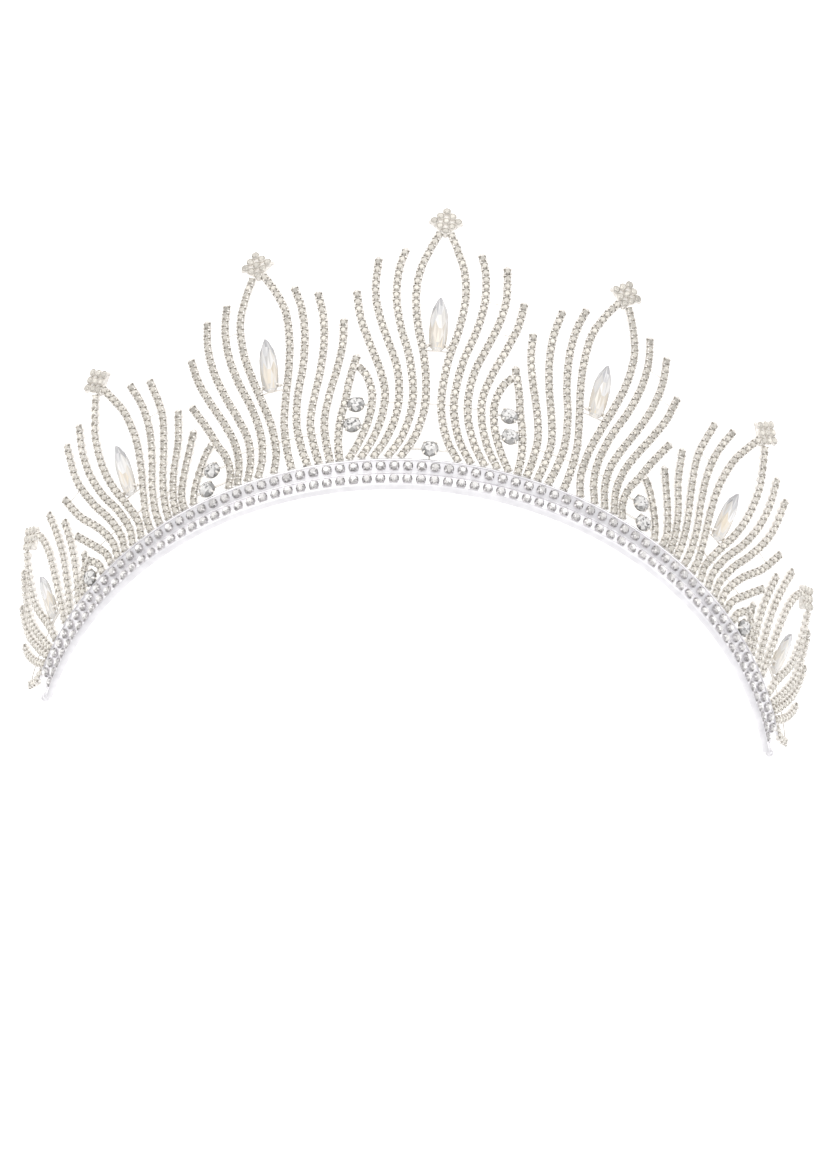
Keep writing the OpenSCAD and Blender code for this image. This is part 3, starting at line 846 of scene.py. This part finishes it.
def foiled_stone(name, cool, warm, metallic, rough_low, rough_high, coat):
    """Small foil-backed stones: facets with painted glints, in a cloud that differs between stones."""
    made = Surface(name, {"Metallic": metallic, "IOR": 1.56, "Coat Weight": coat, "Coat Roughness": 0.04})
    cells = made.texture("ShaderNodeTexVoronoi", Scale=FOIL_CELLS)["Color"]
    made.feed("Base Color", made.by_facet(made.ramp(cells, cool, warm, 0.1, 0.9)))
    made.feed("Roughness", made.between(made.noise(Scale=FOIL_GLINTS), rough_low, rough_high))
    return made.material


def clear_stone(name, edge, middle, scale):
    """Clear cut glass over a pale back, with a faint cloud of tint, times each facet's painted light."""
    made = Surface(name, {"Transmission Weight": 0.15, "IOR": 1.58})
    cloud = made.noise(Scale=scale, Detail=2)
    made.feed("Base Color", made.by_facet(made.ramp(cloud, edge, middle)))
    made.feed("Roughness", made.between(cloud, *GLASS_HAZE))
    return made.material


CHAIN_METAL = plated_metal("chain_metal", (0.75, 0.72, 0.675), (0.92, 0.89, 0.85), 0.36, 0.56)
# The band's metal takes each face's tint, which is the painted shade of its back.
BAND_METAL = plated_metal(
    "band_metal", (0.82, 0.805, 0.825), (0.95, 0.935, 0.95), 0.3, 0.5, grain=500.0, with_painted_shade=True)
# A darker copy of the plating: a painted shade on the collars round the band stones.
COLLAR_SHADE_METAL = plated_metal("collar_painted_shade", (0.46, 0.445, 0.45), (0.74, 0.72, 0.72), 0.22, 0.42)
# Near-black plating for the line along the band's upper edge: a painted shade.
EDGE_SHADE_METAL = plated_metal("edge_line_painted_shade", (0.16, 0.155, 0.16), (0.34, 0.33, 0.34), 0.3, 0.5)
CHAIN_CRYSTAL = foiled_stone("chain_crystal", (0.88, 0.86, 0.82), (1.0, 0.98, 0.94), 0.5, 0.16, 0.36, 0.15)
BAND_CRYSTAL = foiled_stone("band_crystal", (0.92, 0.91, 0.91), (1.0, 0.99, 0.98), 0.4, 0.08, 0.24, 0.3)
MARQUISE_CRYSTAL = clear_stone("marquise_crystal", (0.97, 0.96, 0.955), (1.0, 0.99, 0.975), 260.0)
ROUND_CRYSTAL = clear_stone("round_crystal", (0.95, 0.95, 0.95), (1.0, 1.0, 0.99), 500.0)

# Levels of the facets' painted glints for each kind of face, and for those that hardly show
HIDDEN = (0.5, 0.6)
CHAIN_GLINT_LEVELS = {
    "table": (0.6, 0.84), "star": (0.6, 0.84), "kite": (0.56, 0.82), "break": (0.54, 0.8),
    "girdle": HIDDEN, "lower": HIDDEN, "pavilion": HIDDEN,
}
BAND_GLINT_LEVELS = {
    "table": (0.62, 0.98), "star": (0.5, 1.0), "kite": (0.42, 0.9), "break": (0.3, 0.72),
    "girdle": (0.24, 0.36), "lower": HIDDEN, "pavilion": HIDDEN,
}
ROUND_GLINT_LEVELS = {
    "mosaic": (0.76, 1.0), "dark mosaic": (0.12, 0.5), "star": (0.35, 1.0), "kite": (0.3, 0.9),
    "break": (0.18, 0.6), "girdle": (0.2, 0.3), "lower": (0.3, 1.0), "pavilion": (0.3, 1.0),
}
WARM, NEUTRAL = (1.0, 0.97, 0.915), (1.0, 0.985, 0.97)
# Painted shade: darker stones in the last cup of a free strand and in a crest's corner cups
END_PAINTED_SHADE, CORNER_PAINTED_SHADE = 0.76, 0.9

# Plumes and loops

# How far a cup's centre stays from the crest's plate, and from the other strand of its loop above a height
CREST_ROOM, STRAND_ROOM, MEETING_V = 0.75, 0.9 * CHAIN_D, 9
NECK_WIRE_R = 0.13
BRIDGE_R, BRIDGE_W, BRIDGE_FALL = 0.11, -0.1, 0.3
PLUME_SEED, LOOP_SEED, FOOT_STONE_SEED, BAND_SEED = 100, 200, 250, 300


def outside_crest(crest_v):
    """Whether a cup's centre is clear of the crest's plate."""
    return lambda u, v: abs(u) + abs(v - crest_v) > HEAD_HALF + CREST_ROOM or v > crest_v + HEAD_HALF


def clear_of(az, side, other):
    """Whether a cup's centre is clear of the other strand of its loop."""
    line = np.array([place(az, side * u, v) for u, v in smoothed(other)])
    return lambda u, v: np.linalg.norm(line - place(az, u, v), axis=1).min() > STRAND_ROOM or v < MEETING_V


def strands_on(size, half):
    """The strands on one side of a plume's axis, with their sway."""
    heights, shifts = zip(*SWAYS[size][half])

    def swayed(points):
        return [(u - half * float(np.interp(v, heights, shifts)), v) for u, v in points]

    strands = [strand for strand in STRANDS[size] if strand[0] in (0, half)]
    return [points if which else swayed(points) for which, points in strands]


def add_plume(index, suffix, az, crest_v, marquise_foot, side, size, slope):
    draw = random.Random(PLUME_SEED + index)
    metal, stones = Soup(), Soup()
    halves = {half: strands_on(size, half) for half in (-1, 1)}
    neck = NECKS[size]

    def reach(half, v, number=0):
        """Where a strand of a half runs at a height."""
        return side * half * across_at(halves[half][number], v)

    for half, strands in halves.items():
        for number, points in enumerate(strands):
            keep = outside_crest(crest_v) if number == 0 else anywhere
            add_strand(metal, stones, az, side * half, points, draw, keep, slope, number > 0)
        for number in range(len(strands) - 1):
            ends = [(reach(half, neck, n), neck) for n in (number, number + 1)]
            add_wire(metal, az, *ends, radius=NECK_WIRE_R, slope=slope)
    add_crest(metal, stones, az, crest_v, draw, slope)
    add_wire(metal, az, (reach(-1, neck), neck), (reach(1, neck), neck), slope=slope)
    for whose, half, inner, v in BRIDGES:
        if whose == suffix:
            ends = [(reach(half, v, inner), v), (reach(half, v, inner + 1), v - BRIDGE_FALL)]
            add_wire(metal, az, *ends, BRIDGE_W, BRIDGE_R, slope)
    add_marquise_setting(metal, az, marquise_foot, reach, slope)
    if size == 0:
        inner_strands = [[(-u, v) for u, v in halves[-1][0]], halves[1][0]]
        add_round_setting(metal, az, 1, FOOT_STONE, inner_strands)
        add_wire(metal, az, (0, FOOT_STONE[1] - STEM_FROM), (0, FOOT_V), SIDE_WIRE_W, STEM_R)
    metal.piece(f"plume_{suffix}_chain", CHAIN_METAL, "chain", [f"plume_{suffix}"], smooth_below=30)
    stones.piece(f"plume_{suffix}_stones", CHAIN_CRYSTAL, "small_stone")

    gem = Soup()
    middle = marquise_foot + MARQUISE_L / 2
    gem.add(MARQUISE, place(az, 0, middle, 0.0, slope), axes_at(az, 0, middle, slope), marquise_tints(draw))
    gem.piece(f"marquise_{suffix}_stone", MARQUISE_CRYSTAL, "marquise_stone", [f"marquise_{suffix}"])


def add_loop(index, suffix, az, side, kind):
    draw = random.Random(LOOP_SEED + index)
    metal, stones = Soup(), Soup()
    first, second, short, rounds, crosses = LOOP_KINDS[kind]
    for number, (points, other) in enumerate(((first, second), (second, first))):
        keep = clear_of(az, side, other) if number == short else anywhere
        add_strand(metal, stones, az, side, points, draw, keep)
    for number, (u, v) in enumerate(rounds):
        add_round_setting(metal, az, side, (u, v), (first, second))
        row = "" if len(rounds) == 1 else ("_upper", "_lower")[number]
        add_round_stone(f"round_{suffix}{row}", az, side * u, v, draw)
    for v in crosses:
        add_wire(metal, az, (side * across_at(first, v), v), (side * across_at(second, v), v))
    metal.piece(f"loop_{suffix}_chain", CHAIN_METAL, "chain", [f"loop_{suffix}"], smooth_below=30)
    stones.piece(f"loop_{suffix}_stones", CHAIN_CRYSTAL, "small_stone")


for index, plume in enumerate(PLUMES):
    add_plume(index, *plume)
for index, loop in enumerate(LOOPS):
    add_loop(index, *loop)
add_round_stone("round_center", 0, *FOOT_STONE, random.Random(FOOT_STONE_SEED))

# Band. Its section is worked out as [distance from the axis, height].

BAND_STEPS = 220
LOW = np.array([BAND_R + 0.6, -0.5])
MIDDLE = np.array([radius_at(BAND_H / 2), BAND_H / 2 * math.cos(FLARE)])
TOP = np.array([radius_at(BAND_H), BAND_H * math.cos(FLARE)])
LOWER_FLARE = math.atan2(MIDDLE[0] - LOW[0], MIDDLE[1] - LOW[1])
BOTTOM = LOW[1] - 0.1
# The back faces get a painted shade, darker than the rest of the same metal, so that the polished back shows
# against a white ground
BACK_PAINTED_SHADE = 0.6
# The milled line along the upper edge, drawn as a dark wire of painted shade: its radius, and how far it
# stands off the face
EDGE_LINE_R, EDGE_LINE_OUT = 0.15, 0.1
TIP_R = radius_at(BAND_H / 2) - BAND_T / 2
# How far the tips' middles stand beyond the band's ends, in degrees
TIP_TURN = 0.8
TIP_HALF_W, TIP_HALF_T, TIP_RIDGE, TIP_THINNING = 1.1, 0.4 * BAND_T, 0.06, 0.4
# Distances along the tip, and the share of its width there
TIP_SHARES = ((-TIP_L / 2, 1.0), (-0.2, 1.0), (0.7, 0.8), (1.3, 0.5), (TIP_L / 2, 0.28))
# The rows of stones stop short of the band's ends by this many degrees
ROW_MARGIN = 1
ROW_SEAT = 0.16
COLLAR_TURN, ROW_LEAN = 0.1, 0.07
# How far the middles of the edge rails and of the middle rail stand off the faces, and the middle one's size
EDGE_RAIL_OUT, MID_RAIL_OUT, MID_RAIL = 0.2, 0.05, 0.8


def off_face(flare, d):
    return np.array([d * math.cos(flare), -d * math.sin(flare)])


def up_face(flare, d):
    return np.array([d * math.sin(flare), d * math.cos(flare)])


def half_round(centre, across, radius, count=5):
    """Points of a rail's rounded section, from the lower edge to the upper one."""
    up = np.array([-across[1], across[0]])
    turns = [math.pi * k / (count - 1) for k in range(count)]
    return [centre + radius * (math.sin(a) * across - math.cos(a) * up) for a in turns]


def band_profile():
    """Rounded rails on two flat faces, and the back; its last two edges are the back."""
    low_n, top_n, rail = off_face(LOWER_FLARE, 1), off_face(FLARE, 1), RAIL / 2
    mid_n = unit(low_n + top_n)
    section = [np.array([LOW[0] - BAND_T + 0.1, BOTTOM]), np.array([LOW[0] + RAIL * 0.6, BOTTOM])]
    section += half_round(LOW + up_face(LOWER_FLARE, rail) + low_n * EDGE_RAIL_OUT, low_n, rail)[1:]
    section += [MIDDLE - up_face(LOWER_FLARE, rail * 0.9)]
    section += half_round(MIDDLE + mid_n * MID_RAIL_OUT, mid_n, rail * MID_RAIL)
    section += [MIDDLE + up_face(FLARE, rail * 0.9)]
    section += half_round(TOP - up_face(FLARE, rail) + top_n * EDGE_RAIL_OUT, top_n, rail)
    section += [TOP - 0.05 * top_n]
    return section + [TOP + np.array([-BAND_T + 0.06, 0.12]), MIDDLE + np.array([-BAND_T, 0.1])]


def swept(section):
    """A section carried along the band."""
    turns = [math.radians(-HALF_SWEEP + 2 * HALF_SWEEP * k / BAND_STEPS) for k in range(BAND_STEPS + 1)]
    return lathe([[on_circle(a, radius, height) for radius, height in section] for a in turns])


def plain_tints(shape):
    return [(1.0, 1.0, 1.0)] * len(shape[1])


def add_tip(band, side):
    """A tapered tip with a bead at an end of the band."""
    a = side * math.radians(HALF_SWEEP + TIP_TURN)
    across, up, out = axes_round(a, 0.0)
    axes = np.array([side * across, side * up, out])
    centre = on_circle(a, TIP_R, MIDDLE[1])
    rings = []
    for x, share in TIP_SHARES:
        y, z = TIP_HALF_W * share, TIP_HALF_T * (1 - TIP_THINNING * (1 - share))
        ridge = y + TIP_RIDGE
        rings.append([(x, -y, -z), (x, y, -z), (x, ridge, 0), (x, y, z), (x, -y, z), (x, -ridge, 0)])
    tip, bead = lathe(rings), ball(BEAD_D / 2, 24, 14)
    band.add(tip, centre, axes, plain_tints(tip))
    band.add(bead, centre + BEAD_REACH * axes[0], axes, plain_tints(bead))


def add_band():
    band, section = Soup(), band_profile()
    body = swept(section)
    # The two back edges get a painted shade; every other face stays plain.
    around = [1.0] * (len(section) - 2) + [BACK_PAINTED_SHADE] * 2
    band.add(body, tints=[(shade,) * 3 for shade in around * BAND_STEPS] + [(1.0, 1.0, 1.0)] * 2)
    for side in (-1, 1):
        add_tip(band, side)
    band.piece("band_body", BAND_METAL, "band_metal", ["band"], smooth_below=40)


def band_setting():
    """A low collar round a band stone, with four beads of metal over its edge."""
    r = SMALL_STONE_D / 2
    collar = round_shell([
        (r + 0.12, -GAP), (r + 0.11, 0.16), (r + 0.06, 0.22), (r + 0.01, 0.16), (r + 0.01, -GAP),
    ], 20)
    bead = tab([(r + 0.1, 0.0), (r + 0.09, 0.26), (r - 0.05, 0.4), (r - 0.22, 0.44)], 0.3, 0.14)
    return joined(collar, *four_round(bead))


def add_band_stones():
    setting, settings = band_setting(), Soup()
    stone = cut_stone(SMALL_STONE_D, SMALL_STONE_H - ROW_SEAT, 0.06, table=0.56, girdle=0.1)
    draw = random.Random(BAND_SEED)
    half = HALF_SWEEP - ROW_MARGIN
    upper, lower = ((MIDDLE + TOP) / 2, FLARE), ((LOW + MIDDLE) / 2, LOWER_FLARE)
    for node, (point, slope) in (("band_stones_upper", upper), ("band_stones_lower", lower)):
        row = Soup()
        for k in range(ROW_STONES):
            a = math.radians(2 * half / ROW_STONES * (k + 0.5) - half)
            axes = axes_round(a, slope)
            origin = on_circle(a, *point) + GAP * axes[2]
            settings.add(setting, origin, turned(axes, draw.uniform(-COLLAR_TURN, COLLAR_TURN)))
            cut = turned(leaned(axes, draw, ROW_LEAN, ROW_LEAN), draw.uniform(0, STONE_TURN))
            row.add(stone, origin + ROW_SEAT * axes[2], cut, painted_facet_glints(draw, BAND_GLINT_LEVELS, NEUTRAL))
        row.piece(f"{node}_cut", BAND_CRYSTAL, "small_stone", [node])
    settings.piece("band_settings", COLLAR_SHADE_METAL, "band_metal", smooth_below=40)


def add_edge_line():
    centre = TOP + off_face(FLARE, EDGE_LINE_OUT)
    line = Soup()
    line.add(swept([centre + np.array([x, y]) for x, y, _ in circle(EDGE_LINE_R, 0.0, 6)]))
    line.piece("band_edge_line", EDGE_SHADE_METAL, "band_metal", smooth_below=60)


add_band()
add_band_stones()
add_edge_line()

# Stage, in metres: a pale floor under the part, a soft sky and four softboxes

FLOOR_HALF = 30.0
FLOOR_Z = -0.0002
SKY_LOW, SKY_HIGH, SKY_FULL_AT = (0.42, 0.42, 0.43), (1.0, 1.0, 1.01), 0.85
AIM = (0, 0, 0.02)


def add_floor():
    paper = Surface("floor_paper", {
        "Base Color": (0.93, 0.93, 0.93, 1), "Roughness": 0.9, "Specular IOR Level": 0.1,
        "Emission Color": (1, 1, 1, 1), "Emission Strength": 0.4,
    })
    h, z = FLOOR_HALF, FLOOR_Z
    mesh = bpy.data.meshes.new("floor")
    mesh.from_pydata([(-h, -h, z), (h, -h, z), (h, h, z), (-h, h, z)], [], [(0, 1, 2, 3)])
    mesh.materials.append(paper.material)
    made = bpy.data.objects.new("floor", mesh)
    bpy.context.scene.collection.objects.link(made)


def add_sky():
    """A world that darkens toward the ground."""
    world = bpy.data.worlds.new("studio")
    bpy.context.scene.world = world
    world.use_nodes = True
    nodes, links = world.node_tree.nodes, world.node_tree.links
    direction, parts = nodes.new("ShaderNodeTexCoord"), nodes.new("ShaderNodeSeparateXYZ")
    sky = nodes.new("ShaderNodeValToRGB")
    set_ramp(sky, 0.0, SKY_LOW, SKY_FULL_AT, SKY_HIGH)
    links.new(direction.outputs["Generated"], parts.inputs["Vector"])
    links.new(parts.outputs["Z"], sky.inputs["Fac"])
    links.new(sky.outputs["Color"], nodes["Background"].inputs["Color"])
    fill(nodes["Background"], {"Strength": 1.0})


def softbox(name, location, aim, size, power, tint=(1, 1, 1)):
    light = bpy.data.lights.new(name, "AREA")
    light.shape, light.size, light.size_y = "RECTANGLE", *size
    light.energy, light.color = power, tint
    lamp = bpy.data.objects.new(name, light)
    lamp.location = location
    lamp.rotation_mode = "QUATERNION"
    lamp.rotation_quaternion = (Vector(aim) - Vector(location)).to_track_quat("-Z", "Y")
    bpy.context.scene.collection.objects.link(lamp)


add_floor()
add_sky()
softbox("key", (-0.45, 0.35, 0.75), AIM, (0.7, 0.7), 1.8, (1, 0.99, 0.97))
softbox("fill", (0.6, 0.1, 0.6), AIM, (0.5, 0.7), 0.9, (0.97, 0.98, 1))
softbox("rim", (0.0, -0.7, 0.45), AIM, (0.8, 0.3), 0.6)
softbox("front", (0.0, 0.9, 0.2), (0, 0, 0.03), (1.2, 0.4), 1.4)

# Camera, from a fit to the photograph: its place before the tiara, in millimetres, the turns of its view,
# and its focal length and the picture's long side in pixels

CAMERA_AT = (-3.26, -271.9, -358.56)
CAMERA_YAW, CAMERA_RISE, CAMERA_ROLL = (math.radians(x) for x in (-0.764, -58.389, 3.729))
CAMERA_FOCUS = 2319.5
LONG_SIDE = 1156
SENSOR = 36.0


def camera_axes():
    """Right, up and back of the view, as columns in the frame."""
    level = np.array([math.cos(CAMERA_YAW), math.sin(CAMERA_YAW), 0.0])
    back = on_circle(CAMERA_YAW, math.cos(CAMERA_RISE), math.sin(CAMERA_RISE))
    upright = np.cross(back, level)
    right, up, back = turned(np.array([level, upright, back]), CAMERA_ROLL)
    return row_direction([right, up, back]).T


def add_camera():
    lens = bpy.data.cameras.new("camera")
    lens.sensor_width = SENSOR
    lens.lens = CAMERA_FOCUS / LONG_SIDE * SENSOR
    lens.clip_start, lens.clip_end = 0.01, 20
    camera = bpy.data.objects.new("camera", lens)
    eye = to_row([CAMERA_AT]).T
    camera.matrix_world = Matrix([*np.hstack([camera_axes(), eye]).tolist(), [0, 0, 0, 1]])
    bpy.context.scene.collection.objects.link(camera)
    bpy.context.scene.camera = camera


add_camera()
bpy.context.scene.view_settings.view_transform = "Standard"
